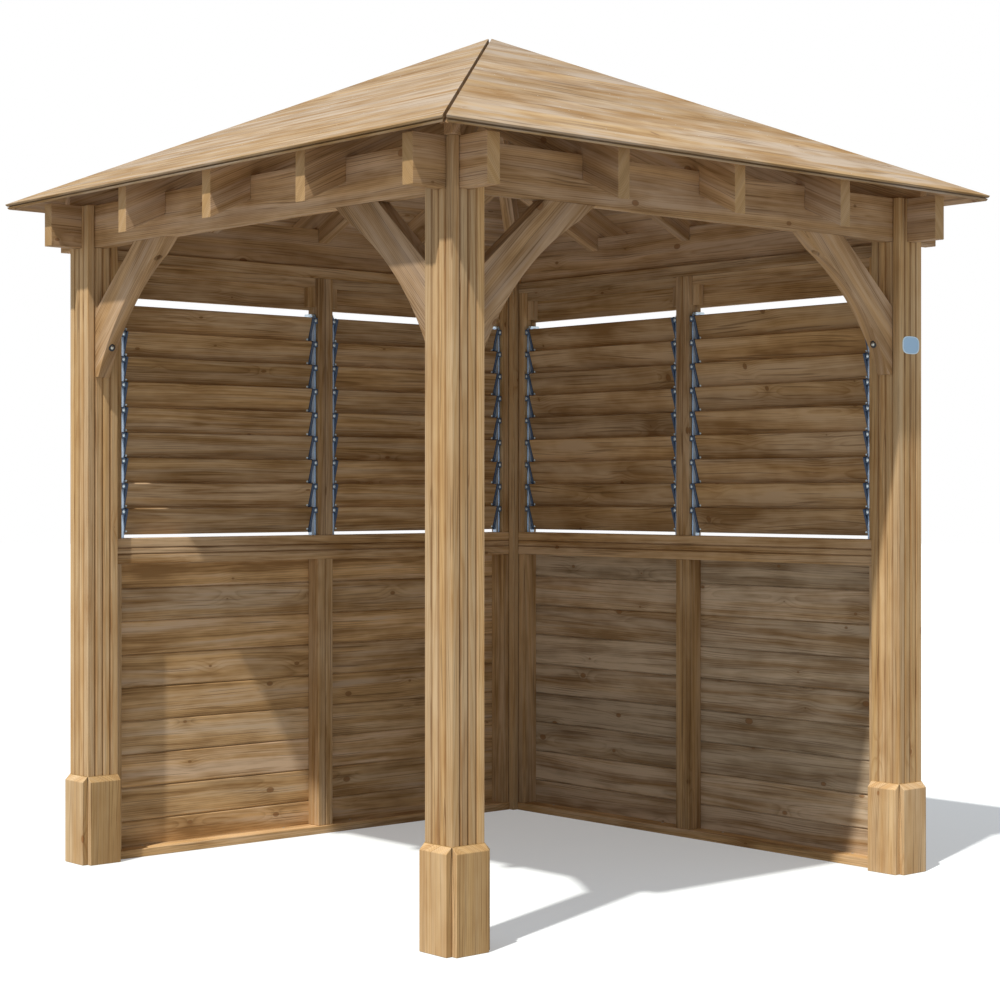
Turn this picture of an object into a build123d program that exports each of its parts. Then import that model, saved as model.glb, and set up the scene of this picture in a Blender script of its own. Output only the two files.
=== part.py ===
"""Garden gazebo: four reeded posts, a ring of crossing beams, a pyramid roof,
two open sides with knee braces and two panelled sides with louvres above boards.

Millimetres, +Z up. The origin is on the ground at the centre of the square plan.
The open sides face -Y (front) and -X (left); the walls stand on +Y (back) and +X (right).
"""

import os
from math import atan2, cos, degrees, radians, sin, sqrt, tan

from build123d import *

# Plan and heights
plan_width = 2000.0
beam_underside = 2052.0

# Posts
post_width = 115.0
reed_groove_width = 8.0
reed_groove_depth = 5.0
reeds_per_face = 4
groove_overcut = 1.0

# Plinth cheeks round the feet of the posts
plinth_thickness = 19.5
plinth_height = 293.0
plinth_bevel = 18.0

# Ring beams that cross in the slotted heads of the posts
beam_thickness = 45.0
beam_depth = 140.0
beam_inset = 27.5
beam_tail = 112.0
slot_play = 0.3

# Knee braces of the open sides
brace_thickness = 45.0
brace_reach_inner = 244.0
brace_drop_inner = 212.0
brace_reach_outer = 440.0
brace_drop_outer = 432.0
brace_heel = 20.0
brace_nose_rise = 50.0
brace_nose_run = 65.0
brace_belly_reach = 146.0
brace_belly_drop = 236.0

# Bores that sink the bolt heads of the braces, at the foot and at the top
bolt_bore_diameter = 25.0
foot_bolt_drop = 336.0
foot_bolt_seat = 68.0
top_bolt_reach = 354.0
top_bolt_seat = 30.0

# Rafters and hips
roof_pitch = 24.9
rafter_thickness = 45.0
rafter_depth = 137.0
rafter_tail = 118.0
rafter_spacing = 475.0
hip_tail = 12.0
crown_across = 130.0
crown_height = 185.0

# Roof boarding
eave_overhang = 152.5
eave_rise = -3.5
board_thickness = 18.0
eave_groove_height = 5.0
eave_groove_depth = 7.0
hip_gap = 10.0

# Panelled walls
frame_setback = 87.0
frame_depth = 63.0
stile_width = 32.0
mullion_groove_width = 7.0
mullion_groove_depth = 3.5
sole_rail_height = 28.0
sole_rail_proud = 7.0
mid_rail_underside = 996.0
mid_rail_height = 86.0
mid_rail_proud = 3.0
rail_groove_spacing = 21.0
rail_groove_width = 6.0
rail_groove_depth = 4.0
head_rail_height = 39.0
header_drop = 113.5
header_border = 33.0
header_border_lift = 9.0
header_border_setback = 18.0
header_panel_setback = 42.0
header_panel_thickness = 18.0

# Wall boards
wall_board_cover = 113.8
wall_board_thickness = 18.0
wall_board_gap = 1.0
wall_board_chamfer = 4.0
wall_board_count = 9

# Louvres: slats leaning inward at the top, held between end clips on upright channels
slat_count = 9
slat_pitch = 85.8
slat_width = 94.0
slat_thickness = 9.0
slat_tilt = 18.0
slat_setback = 20.0
louvre_foot_gap = 10.5
channel_width = 18.0
channel_depth = 20.0
channel_setback = 15.0
channel_head_gap = 16.0
channel_cap_height = 8.0
channel_cap_setback = 19.0
clip_width = 8.0
clip_depth = 17.0

# Derived lines that several pieces share
half = plan_width / 2
beam_top = beam_underside + beam_depth
beam_line = half - beam_inset - beam_thickness / 2
bay_edge = half - post_width
slope = tan(radians(roof_pitch))
eave_half = half + eave_overhang
eave_height = beam_top + eave_rise
boarding_plumb = board_thickness / cos(radians(roof_pitch))
rafter_plumb = rafter_depth / cos(radians(roof_pitch))
frame_face = half - frame_setback
frame_back = frame_face + frame_depth
frame_middle = frame_face + frame_depth / 2
mid_rail_top = mid_rail_underside + mid_rail_height
wall_board_height = wall_board_cover - wall_board_gap
head_rail_underside = beam_underside - head_rail_height
header_underside = head_rail_underside - header_drop
border_underside = header_underside + header_border_lift
channel_top = header_underside - channel_head_gap

# Outward direction of each side of the plan
sides = {"front": (0, -1), "left": (-1, 0), "back": (0, 1), "right": (1, 0)}
walls = {"back": sides["back"], "right": sides["right"]}
corners = {
    "front_left": (-1, -1),
    "front_right": (1, -1),
    "back_left": (-1, 1),
    "back_right": (1, 1),
}
# Faces of each post that carry a plinth cheek; a wall covers the others
plinth_faces = {
    "front_left": ["front", "left", "back", "right"],
    "front_right": ["front", "left", "right"],
    "back_left": ["front", "left", "back"],
    "back_right": ["back", "right"],
}


def roof_underside(distance):
    """Height of the underside of the boarding at a distance from the centre line."""
    return eave_height + slope * (eave_half - distance)


def section_plane(out, along=0.0, depth=0.0):
    """Upright plane across a side: local x runs outward, local y up."""
    tangent = (-out[1], out[0])
    origin = (out[0] * depth + tangent[0] * along, out[1] * depth + tangent[1] * along, 0)
    return Plane(origin=origin, x_dir=(out[0], out[1], 0), z_dir=(out[1], -out[0], 0))


def elevation_plane(out, depth):
    """Upright plane along a side at a distance from the centre: local x runs along it."""
    return Plane(
        origin=(out[0] * depth, out[1] * depth, 0),
        x_dir=(-out[1], out[0], 0),
        z_dir=(out[0], out[1], 0),
    )


def groove_corners(width, depth):
    """Corners of a V-groove's cutter: it points along local -x and stands proud of the face."""
    return [
        (groove_overcut, -width / 2),
        (0, -width / 2),
        (-depth, 0),
        (0, width / 2),
        (groove_overcut, width / 2),
    ]


def save(piece, name):
    """Label a finished piece and write it under its own name."""
    piece.part.label = name
    export_step(piece.part, f"parts/{name}.step")
    print(name, len(piece.part.solids()), round(piece.part.volume / 1e6, 3))


os.makedirs("parts", exist_ok=True)

# Posts: square stock with reeds on each face and a cross slot in the head
reed_pitch = post_width / reeds_per_face
groove_offsets = [(0, reed_pitch * (k - reeds_per_face / 2)) for k in range(1, reeds_per_face)]
slot_width = beam_thickness + 2 * slot_play
for corner, (sx, sy) in corners.items():
    centre = (sx * (half - post_width / 2), sy * (half - post_width / 2))
    with BuildPart() as post:
        with BuildSketch(Plane.XY.shift_origin((*centre, 0))):
            Rectangle(post_width, post_width)
            with PolarLocations(post_width / 2, 4):
                with Locations(*groove_offsets):
                    Polygon(
                        *groove_corners(reed_groove_width, reed_groove_depth),
                        align=None,
                        mode=Mode.SUBTRACT,
                    )
        extrude(amount=beam_top)
        with BuildSketch(Plane.XY.offset(beam_underside)):
            with Locations((sx * beam_line, centre[1])):
                Rectangle(slot_width, 2 * post_width)
            with Locations((centre[0], sy * beam_line)):
                Rectangle(2 * post_width, slot_width)
        extrude(amount=2 * beam_depth, mode=Mode.SUBTRACT)
    save(post, f"post_{corner}")

# Plinths: cheek boards on the free faces of each post, bevelled on the top outer edge
for corner, (sx, sy) in corners.items():
    centre = (sx * (half - post_width / 2), sy * (half - post_width / 2))
    with BuildPart() as plinth:
        for face in plinth_faces[corner]:
            ox, oy = sides[face]
            along = centre[0] * -oy + centre[1] * ox
            depth = centre[0] * ox + centre[1] * oy + post_width / 2
            with BuildSketch(section_plane((ox, oy), along, depth)):
                Polygon(
                    (0, 0),
                    (plinth_thickness, 0),
                    (plinth_thickness, plinth_height - plinth_bevel),
                    (plinth_thickness - plinth_bevel, plinth_height),
                    (0, plinth_height),
                    align=None,
                )
            extrude(amount=post_width / 2, both=True)
    save(plinth, f"plinth_{corner}")

# Ring beams: they halve into each other inside the post heads
beam_length = 2 * (half + beam_tail)
for name, out in sides.items():
    runs_along_x = out[0] == 0
    halving_base = beam_underside if runs_along_x else beam_underside + beam_depth / 2
    with BuildPart() as beam:
        with BuildSketch(section_plane(out, 0, beam_line)):
            with Locations((0, beam_underside + beam_depth / 2)):
                Rectangle(beam_thickness, beam_depth)
        extrude(amount=beam_length / 2, both=True)
        with BuildSketch(elevation_plane(out, beam_line)):
            with Locations(
                (-beam_line, halving_base + beam_depth / 4),
                (beam_line, halving_base + beam_depth / 4),
            ):
                Rectangle(slot_width, beam_depth / 2)
        extrude(amount=beam_thickness, both=True, mode=Mode.SUBTRACT)
    save(beam, f"beam_{name}")

# Knee braces: straight along the top, hollowed below, with a short nose under the beam
for name in ("front", "left"):
    out = sides[name]
    tangent = (-out[1], out[0])
    for end, sign in (("near", -1), ("far", 1)):
        along = sign * bay_edge
        origin = (
            out[0] * beam_line + tangent[0] * along,
            out[1] * beam_line + tangent[1] * along,
            beam_underside,
        )
        inward = (-sign * tangent[0], -sign * tangent[1], 0)
        brace_plane = Plane(origin=origin, x_dir=inward, z_dir=(inward[1], -inward[0], 0))
        nose = (brace_reach_outer - brace_nose_run, -brace_nose_rise)
        foot_bore = Plane(
            origin=(
                origin[0] + inward[0] * foot_bolt_seat,
                origin[1] + inward[1] * foot_bolt_seat,
                beam_underside - foot_bolt_drop,
            ),
            z_dir=inward,
        )
        top_bore = Plane(
            origin=(
                origin[0] + inward[0] * top_bolt_reach,
                origin[1] + inward[1] * top_bolt_reach,
                beam_underside - top_bolt_seat,
            ),
            z_dir=(0, 0, -1),
        )
        with BuildPart() as brace:
            with BuildSketch(brace_plane):
                with BuildLine():
                    Polyline(
                        nose,
                        (brace_reach_outer, 0),
                        (brace_reach_inner, 0),
                        (0, -brace_drop_inner),
                        (0, -brace_drop_outer),
                        (brace_heel, -brace_drop_outer),
                    )
                    ThreePointArc(
                        (brace_heel, -brace_drop_outer),
                        (brace_belly_reach, -brace_belly_drop),
                        nose,
                    )
                make_face()
            extrude(amount=brace_thickness / 2, both=True)
            with BuildSketch(foot_bore, top_bore):
                Circle(bolt_bore_diameter / 2)
            extrude(amount=brace_drop_outer, mode=Mode.SUBTRACT)
        save(brace, f"brace_{name}_{end}")

# Crown block under the peak: the hips and the middle rafters butt its eight faces
crown_top = roof_underside(crown_across / 2)
with BuildPart() as crown:
    with BuildSketch(Plane.XY.offset(crown_top - crown_height)):
        RegularPolygon(crown_across / 2, 8, major_radius=False, rotation=22.5)
    extrude(amount=crown_height)
save(crown, "crown_block")

# Rafters: notched over the beams, cut off plumb past them; the outer two die on the hips
rafter_end = half + rafter_tail
hip_side = rafter_thickness / 2 * sqrt(2)
seat_inner = beam_line - beam_thickness / 2 - slot_play
seat_outer = beam_line + beam_thickness / 2 + slot_play
for name, out in sides.items():
    with BuildPart() as rafters:
        for along in (-rafter_spacing, 0, rafter_spacing):
            start = crown_across / 2 if along == 0 else rafter_spacing - rafter_thickness
            with BuildSketch(section_plane(out, along)):
                Polygon(
                    (start, roof_underside(start)),
                    (start, roof_underside(start) - rafter_plumb),
                    (seat_inner, roof_underside(seat_inner) - rafter_plumb),
                    (seat_inner, beam_top),
                    (seat_outer, beam_top),
                    (seat_outer, roof_underside(seat_outer) - rafter_plumb),
                    (rafter_end, roof_underside(rafter_end) - rafter_plumb),
                    (rafter_end, roof_underside(rafter_end)),
                    align=None,
                )
            extrude(amount=rafter_thickness / 2, both=True)
        for turn in (-1, 1):
            far = eave_half + hip_side
            with BuildSketch(Plane.XY):
                Polygon(
                    *[
                        (out[0] * r - out[1] * turn * t, out[1] * r + out[0] * turn * t)
                        for t, r in ((0, hip_side), (far, far + hip_side), (far, 0), (0, 0))
                    ],
                    align=None,
                )
            extrude(amount=2 * eave_height, mode=Mode.SUBTRACT)
    save(rafters, f"rafters_{name}")

# Hip rafters: seated on the post heads, backed to both slopes, pointed at the tail
hip_end = half + hip_tail
hip_start = crown_across / 2 / sqrt(2)
hip_seat = bay_edge - slot_play
with BuildPart() as hips:
    for sx, sy in corners.values():
        with BuildSketch(Plane(origin=(0, 0, 0), x_dir=(sx, sy, 0), z_dir=(sy, -sx, 0))):
            Polygon(
                (hip_start * sqrt(2), roof_underside(hip_start)),
                (hip_start * sqrt(2), roof_underside(hip_start) - rafter_plumb),
                (hip_seat * sqrt(2), roof_underside(hip_seat) - rafter_plumb),
                (hip_seat * sqrt(2), beam_top),
                (hip_end * sqrt(2), beam_top),
                (hip_end * sqrt(2), roof_underside(hip_end)),
                align=None,
            )
        extrude(amount=rafter_thickness / 2, both=True)
    for out in sides.values():
        backing = Plane(
            origin=(0, 0, roof_underside(0)), z_dir=(out[0] * slope, out[1] * slope, 1)
        )
        split(bisect_by=backing, keep=Keep.BOTTOM)
        tail_cut = Plane(origin=(out[0] * hip_end, out[1] * hip_end, 0), z_dir=(*out, 0))
        split(bisect_by=tail_cut, keep=Keep.BOTTOM)
save(hips, "hip_rafters")

# Roof slopes: boarding mitred short of the hips, its lowest edge grooved
edge_rise = (board_thickness - eave_groove_height) / 2
edge_out = (sin(radians(roof_pitch)), cos(radians(roof_pitch)))
edge_in = (-cos(radians(roof_pitch)), sin(radians(roof_pitch)))


def eave_point(up, into=0.0):
    """Point on the lowest edge of the boarding, measured up it and into it."""
    return (
        eave_half + edge_out[0] * up + edge_in[0] * into,
        eave_height + edge_out[1] * up + edge_in[1] * into,
    )


for name, out in sides.items():
    tangent = (-out[1], out[0])
    with BuildPart() as roof:
        with BuildSketch(section_plane(out)):
            Polygon(
                (0, roof_underside(0)),
                eave_point(0),
                eave_point(edge_rise),
                eave_point(edge_rise, eave_groove_depth),
                eave_point(edge_rise + eave_groove_height, eave_groove_depth),
                eave_point(edge_rise + eave_groove_height),
                eave_point(board_thickness),
                (0, roof_underside(0) + boarding_plumb),
                align=None,
            )
        extrude(amount=2 * eave_half, both=True)
        for turn in (-1, 1):
            mitre = ((out[0] + turn * tangent[0]) / sqrt(2), (out[1] + turn * tangent[1]) / sqrt(2))
            split(
                bisect_by=Plane(
                    origin=(mitre[0] * hip_gap / 2, mitre[1] * hip_gap / 2, 0), z_dir=(*mitre, 0)
                ),
                keep=Keep.TOP,
            )
    save(roof, f"roof_{name}")

# Walls: a frame of rails and stiles, boards outside below, louvres above
bay_inner = stile_width
bay_outer = bay_edge - stile_width
bay_width = bay_outer - bay_inner
bay_centre = (bay_outer + bay_inner) / 2
rail_grooves = (-rail_groove_spacing / 2, rail_groove_spacing / 2)
rail_middle = mid_rail_underside + mid_rail_height / 2
for name, out in walls.items():
    across = section_plane(out)

    with BuildPart() as sole:
        with BuildSketch(across):
            with Locations((frame_back, 0)):
                Rectangle(
                    frame_depth + sole_rail_proud, sole_rail_height, align=(Align.MAX, Align.MIN)
                )
        extrude(amount=bay_edge, both=True)
    save(sole, f"{name}_sole_rail")

    with BuildPart() as mid:
        with BuildSketch(across):
            with Locations((frame_back, mid_rail_underside)):
                Rectangle(
                    frame_depth + mid_rail_proud, mid_rail_height, align=(Align.MAX, Align.MIN)
                )
            with Locations(*[(frame_face - mid_rail_proud, rail_middle + g) for g in rail_grooves]):
                Polygon(
                    *groove_corners(rail_groove_width, rail_groove_depth),
                    rotation=180,
                    align=None,
                    mode=Mode.SUBTRACT,
                )
        extrude(amount=bay_edge, both=True)
    save(mid, f"{name}_mid_rail")

    with BuildPart() as head:
        with BuildSketch(across):
            with Locations((frame_back, head_rail_underside)):
                Rectangle(frame_depth, head_rail_height, align=(Align.MAX, Align.MIN))
        extrude(amount=bay_edge, both=True)
    save(head, f"{name}_head_rail")

    # Stiles at the posts and a double one in the middle, below and above the mid rail
    outward_angle = degrees(atan2(out[1], out[0]))
    mullion_face = Location(
        (out[0] * frame_face, out[1] * frame_face, 0), (0, 0, outward_angle + 180)
    )
    with BuildPart() as stiles:
        for base, top in ((sole_rail_height, mid_rail_underside), (mid_rail_top, head_rail_underside)):
            with BuildSketch(Plane.XY.offset(base)):
                for along in (-bay_edge + stile_width / 2, 0, bay_edge - stile_width / 2):
                    width = 2 * stile_width if along == 0 else stile_width
                    spot = (
                        out[0] * frame_middle - out[1] * along,
                        out[1] * frame_middle + out[0] * along,
                    )
                    with Locations(Location((*spot, 0), (0, 0, outward_angle))):
                        Rectangle(frame_depth, width)
                with Locations(mullion_face):
                    Polygon(
                        *groove_corners(mullion_groove_width, mullion_groove_depth),
                        align=None,
                        mode=Mode.SUBTRACT,
                    )
            extrude(amount=top - base)
    save(stiles, f"{name}_stiles")

    # Header panels: a board across the bay with a border planted on it, open at the foot
    with BuildPart() as headers:
        for along in (-bay_centre, bay_centre):
            with BuildSketch(elevation_plane(out, frame_face + header_border_setback)):
                with Locations((along, border_underside)):
                    Rectangle(
                        bay_width,
                        head_rail_underside - border_underside,
                        align=(Align.CENTER, Align.MIN),
                    )
                    Rectangle(
                        bay_width - 2 * header_border,
                        head_rail_underside - border_underside - header_border,
                        align=(Align.CENTER, Align.MIN),
                        mode=Mode.SUBTRACT,
                    )
            extrude(amount=header_panel_setback - header_border_setback)
            with BuildSketch(elevation_plane(out, frame_face + header_panel_setback)):
                with Locations((along, header_underside)):
                    Rectangle(bay_width, header_drop, align=(Align.CENTER, Align.MIN))
            extrude(amount=header_panel_thickness)
    save(headers, f"{name}_header_panels")

    # Wall boards: laid flat, both edges chamfered on both faces
    with BuildPart() as boards:
        with BuildSketch(across):
            for k in range(wall_board_count):
                with Locations((frame_back, k * wall_board_cover)):
                    Polygon(
                        (wall_board_chamfer, 0),
                        (wall_board_thickness - wall_board_chamfer, 0),
                        (wall_board_thickness, wall_board_chamfer),
                        (wall_board_thickness, wall_board_height - wall_board_chamfer),
                        (wall_board_thickness - wall_board_chamfer, wall_board_height),
                        (wall_board_chamfer, wall_board_height),
                        (0, wall_board_height - wall_board_chamfer),
                        (0, wall_board_chamfer),
                        align=None,
                    )
        extrude(amount=bay_edge, both=True)
    save(boards, f"{name}_wall_boards")

    # Louvre slats, two bays of them
    lean = radians(slat_tilt)
    slat_rise = slat_width * cos(lean) + slat_thickness * sin(lean)
    slat_axes = [
        (frame_face + slat_setback, mid_rail_top + louvre_foot_gap + slat_rise / 2 + k * slat_pitch)
        for k in range(slat_count)
    ]
    hold = channel_width + clip_width
    with BuildPart() as louvres:
        for along in (-bay_centre, bay_centre):
            with BuildSketch(section_plane(out, along)):
                with Locations(*slat_axes):
                    Rectangle(slat_thickness, slat_width, rotation=slat_tilt)
            extrude(amount=bay_width / 2 - hold, both=True)
    save(louvres, f"{name}_louvres")

    bay_ends = [
        end * bay_centre + side * bay_width / 2 for end in (-1, 1) for side in (-1, 1)
    ]
    # Channels: each ends short of the header in a cap that reaches back across the frame
    with BuildPart() as channels:
        for n, end in enumerate(bay_ends):
            toward = 1 if n % 2 == 0 else -1
            with BuildSketch(section_plane(out, end + toward * channel_width / 2)):
                with Locations((frame_face + channel_setback, mid_rail_top)):
                    Rectangle(
                        channel_depth, channel_top - mid_rail_top, align=(Align.MIN, Align.MIN)
                    )
                with Locations((frame_face + channel_cap_setback, channel_top)):
                    Rectangle(
                        frame_depth - channel_cap_setback,
                        channel_cap_height,
                        align=(Align.MIN, Align.MAX),
                    )
            extrude(amount=channel_width / 2, both=True)
    save(channels, f"{name}_channels")

    with BuildPart() as clips:
        for n, end in enumerate(bay_ends):
            toward = 1 if n % 2 == 0 else -1
            with BuildSketch(section_plane(out, end + toward * (channel_width + clip_width / 2))):
                with Locations(*slat_axes):
                    Rectangle(clip_depth, slat_width, rotation=slat_tilt)
            extrude(amount=clip_width / 2, both=True)
    save(clips, f"{name}_clips")
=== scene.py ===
"""Garden gazebo, dressed for looks: grained timber, louvre fittings, fixings and its stage.

Metres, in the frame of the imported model. The open sides face -Y (front) and -X (left);
the walls stand on +Y (back) and +X (right).
"""

import math
import random

import bmesh
import bpy
from bpy.props import FloatProperty, FloatVectorProperty, PointerProperty
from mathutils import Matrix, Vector


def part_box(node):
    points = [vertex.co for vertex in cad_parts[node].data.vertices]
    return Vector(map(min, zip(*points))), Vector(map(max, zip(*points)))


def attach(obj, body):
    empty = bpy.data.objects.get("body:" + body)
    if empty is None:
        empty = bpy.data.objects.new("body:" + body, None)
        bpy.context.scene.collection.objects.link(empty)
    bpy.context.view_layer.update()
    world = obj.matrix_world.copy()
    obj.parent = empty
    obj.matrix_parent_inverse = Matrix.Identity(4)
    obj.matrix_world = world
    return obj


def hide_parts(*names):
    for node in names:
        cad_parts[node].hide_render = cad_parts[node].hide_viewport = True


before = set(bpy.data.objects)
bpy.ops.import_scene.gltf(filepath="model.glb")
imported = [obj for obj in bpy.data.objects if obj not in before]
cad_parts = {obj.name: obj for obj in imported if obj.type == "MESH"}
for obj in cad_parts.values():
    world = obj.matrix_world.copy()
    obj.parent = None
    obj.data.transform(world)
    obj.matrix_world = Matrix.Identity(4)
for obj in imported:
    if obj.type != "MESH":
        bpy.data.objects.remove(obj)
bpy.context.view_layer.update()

bl_info = {
    "name": "Garden Gazebo",
    "version": (1, 0, 0),
    "blender": (4, 5, 0),
    "location": "View3D > Sidebar > Gazebo",
    "description": "Dresses the packed gazebo with grained timber, fittings and a stage",
    "category": "Object",
}

UP = Vector((0, 0, 1))
SIDES = {"front": (0, -1), "left": (-1, 0), "back": (0, 1), "right": (1, 0)}
WALLS = ("back", "right")
CORNERS = ("front_left", "front_right", "back_left", "back_right")
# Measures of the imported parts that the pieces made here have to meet
ROOF_PITCH = math.radians(24.9)
SLATS = 9
SLAT_PITCH = 0.0858
SLAT_LEAN = math.radians(18)
CLIP_LENGTH = 0.094
CLIP_WIDTH = 0.017
CHANNEL_WIDTH = 0.018
STILE_HALF = 0.032
WALL_BOARDS = 9
BOARD_COVER = 0.1138
REED = 0.115 / 4
BAY_EDGE = 0.885
BEAM_UNDERSIDE = 2.052
BRACE_LINE = 0.95
PLATE_LEVEL = 1.716

# Of the stage: the way that the sunlight goes
SUN_TRAVEL = (1.0, 0.365, -1.81)


# ---------------------------------------------------------------- settings


def length(label, description, default):
    """A length in metres that a user may change."""
    return FloatProperty(name=label, description=description, default=default, unit="LENGTH")


def colour(label, description, default):
    """A linear colour that a user may change."""
    return FloatVectorProperty(
        name=label, description=description, default=default, subtype="COLOR", min=0, max=1
    )


class GazeboSizes(bpy.types.PropertyGroup):
    """Sizes of the roundings, joints and fixings."""

    arris: length("Arris", "Rounding of the framing timber's edges", 0.002)
    board_arris: length("Board arris", "Rounding of the boards' edges", 0.001)
    slat_arris: length("Slat arris", "Rounding of the louvre slats' edges", 0.0034)
    roof_board: length("Roof board", "Cover of one roof board along the slope", 0.105)
    header_border: length("Header border", "Width of the border round a header panel", 0.033)
    bolt_head: length("Bolt head", "Diameter of a bolt head in a brace", 0.013)
    screw_head: length("Screw head", "Diameter of a screw head on a sole rail", 0.009)
    nail_head: length("Nail head", "Diameter of a nail head in a board", 0.0036)
    pin_head: length("Pin head", "Diameter of a pin at the foot of a slat", 0.008)
    plate_width: length("Plate width", "Width of the bare plate on the right post", 0.086)
    plate_height: length("Plate height", "Height of the bare plate on the right post", 0.058)


class GazeboFinish(bpy.types.PropertyGroup):
    """Colours of the finishes, written linear."""

    post_pale: colour("Post, pale", "Early wood of the posts", (0.67, 0.485, 0.265))
    post_deep: colour("Post, deep", "Late wood of the posts", (0.36, 0.205, 0.09))
    frame_pale: colour("Frame, pale", "Early wood of the framing", (0.6, 0.42, 0.255))
    frame_deep: colour("Frame, deep", "Late wood of the framing", (0.275, 0.17, 0.088))
    roof_pale: colour("Roof, pale", "Early wood of the roof boards", (0.44, 0.34, 0.228))
    roof_deep: colour("Roof, deep", "Late wood of the roof boards", (0.23, 0.144, 0.067))
    wall_pale: colour("Wall, pale", "Early wood of the walls and louvres", (0.565, 0.39, 0.212))
    wall_deep: colour("Wall, deep", "Late wood of the walls and louvres", (0.25, 0.15, 0.07))
    board_pale: colour("Wall board, pale", "Early wood of the wall boards", (0.67, 0.475, 0.28))
    board_deep: colour("Wall board, deep", "Late wood of the wall boards", (0.3, 0.19, 0.098))
    channel: colour("Channel", "Upright channels of the louvres", (0.55, 0.69, 0.86))
    # Painted shade: near-black for the recessed step of each channel by its stile and for the disc
    # in the bore under each bolt head
    lip: colour("Lip", "Lips of the channels, discs under the bolts", (0.03, 0.035, 0.045))
    pivot: colour("Pivot", "Pivot blocks of the louvres", (0.13, 0.21, 0.33))
    clip: colour("Clip", "Clips of the louvres", (0.05, 0.09, 0.17))
    cap: colour("Cap", "Caps of the channels and the pins", (0.78, 0.92, 1.0))
    steel: colour("Steel", "Bolt, screw and nail heads", (0.5, 0.51, 0.47))
    plate: colour("Plate", "Bare plate on the right post", (0.37, 0.6, 0.85))
    rim: colour("Rim", "Rim of the bare plate", (0.66, 0.86, 1.0))


class GazeboStage(bpy.types.PropertyGroup):
    """Light, floor and camera."""

    sun_power: FloatProperty(name="Sun", description="Strength of the sun", default=3.7, min=0)
    sun_angle: FloatProperty(
        name="Sun size", description="Apparent size of the sun", default=0.022, subtype="ANGLE"
    )
    sky: FloatProperty(name="Sky", description="Light from the sky", default=0.43, min=0)
    floor_lift: FloatProperty(
        name="Floor lift", description="Part of the floor that shows as plain white", default=0.28
    )
    focal_length: FloatProperty(name="Lens", description="Focal length in mm", default=77.8)


# ---------------------------------------------------------------- shader maths


class Link:
    """A shader socket in a Python expression: arithmetic on it adds Math nodes."""

    def __init__(self, finish, socket):
        self.finish = finish
        self.socket = socket

    def output(self, name):
        """Another output of the same node."""
        return Link(self.finish, self.socket.node.outputs[name])

    def __add__(self, other):
        return self.finish.maths("ADD", self, other)

    def __radd__(self, other):
        return self.finish.maths("ADD", other, self)

    def __sub__(self, other):
        return self.finish.maths("SUBTRACT", self, other)

    def __rsub__(self, other):
        return self.finish.maths("SUBTRACT", other, self)

    def __mul__(self, other):
        return self.finish.maths("MULTIPLY", self, other)

    def __rmul__(self, other):
        return self.finish.maths("MULTIPLY", other, self)

    def __pow__(self, other):
        return self.finish.maths("POWER", self, other)

    def clamped(self):
        """The value held between 0 and 1."""
        return self.finish.maths("ADD", self, 0.0, clamp=True)

    def wrapped(self):
        """The fractional part of the value."""
        return self.finish.maths("FRACT", self)


class Finish:
    """The node tree of a material or world, and the one method that adds its nodes."""

    def __init__(self, owner):
        self.owner = owner
        owner.use_nodes = True
        self.tree = owner.node_tree
        self.tree.nodes.clear()

    def node(self, kind, settings=None, inputs=None, output=0):
        """Add a node: its settings first, then the values or links of its sockets."""
        made = self.tree.nodes.new(kind)
        for key, value in (settings or {}).items():
            setattr(made, key, value)
        for key, value in (inputs or {}).items():
            if isinstance(value, Link):
                self.tree.links.new(value.socket, made.inputs[key])
            else:
                made.inputs[key].default_value = value
        return Link(self, made.outputs[output]) if len(made.outputs) else None

    def maths(self, operation, *values, clamp=False):
        """A Math node over values and links."""
        settings = {"operation": operation, "use_clamp": clamp}
        return self.node("ShaderNodeMath", settings, dict(enumerate(values)))

    def vector(self, operation, *values, output=0):
        """A Vector Math node over vectors and links."""
        return self.node(
            "ShaderNodeVectorMath", {"operation": operation}, dict(enumerate(values)), output
        )

    def mix(self, factor, first, second, blend="MIX"):
        """A Mix node over two colours."""
        settings = {"data_type": "RGBA", "blend_type": blend}
        return self.node("ShaderNodeMix", settings, {0: factor, 6: first, 7: second}, 2)

    def attribute(self, name, output):
        """A value that the mesh carries."""
        return self.node("ShaderNodeAttribute", {"attribute_name": name}, output=output)

    def noise(self, place, stretch, detail=2.0, roughness=0.5, output="Fac"):
        """Noise at a place whose axes are stretched by so many cells a metre."""
        scaled = self.vector("MULTIPLY", place, stretch)
        sockets = {"Vector": scaled, "Scale": 1.0, "Detail": detail, "Roughness": roughness}
        return self.node("ShaderNodeTexNoise", {}, sockets, output)

    def paired(self, first, second):
        """A vector of two values."""
        return self.node("ShaderNodeCombineXYZ", {}, {0: first, 1: second})

    def flat_noise(self, first, second, detail=2.0, roughness=0.5):
        """Noise over two values."""
        sockets = {"Vector": self.paired(first, second), "Scale": 1.0}
        sockets.update({"Detail": detail, "Roughness": roughness})
        return self.node("ShaderNodeTexNoise", {"noise_dimensions": "2D"}, sockets)

    def surface(self, shader):
        """Join a shader to the output."""
        kind = "ShaderNodeOutputWorld" if isinstance(self.owner, bpy.types.World) else None
        self.node(kind or "ShaderNodeOutputMaterial", {}, {"Surface": shader})


def rgba(shade):
    """A colour property as a socket's four numbers."""
    return (shade[0], shade[1], shade[2], 1.0)


def scaled_shade(shade, *factors):
    """A colour with each channel multiplied."""
    return tuple(channel * factor for channel, factor in zip(shade, factors)) + (1.0,)


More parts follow.
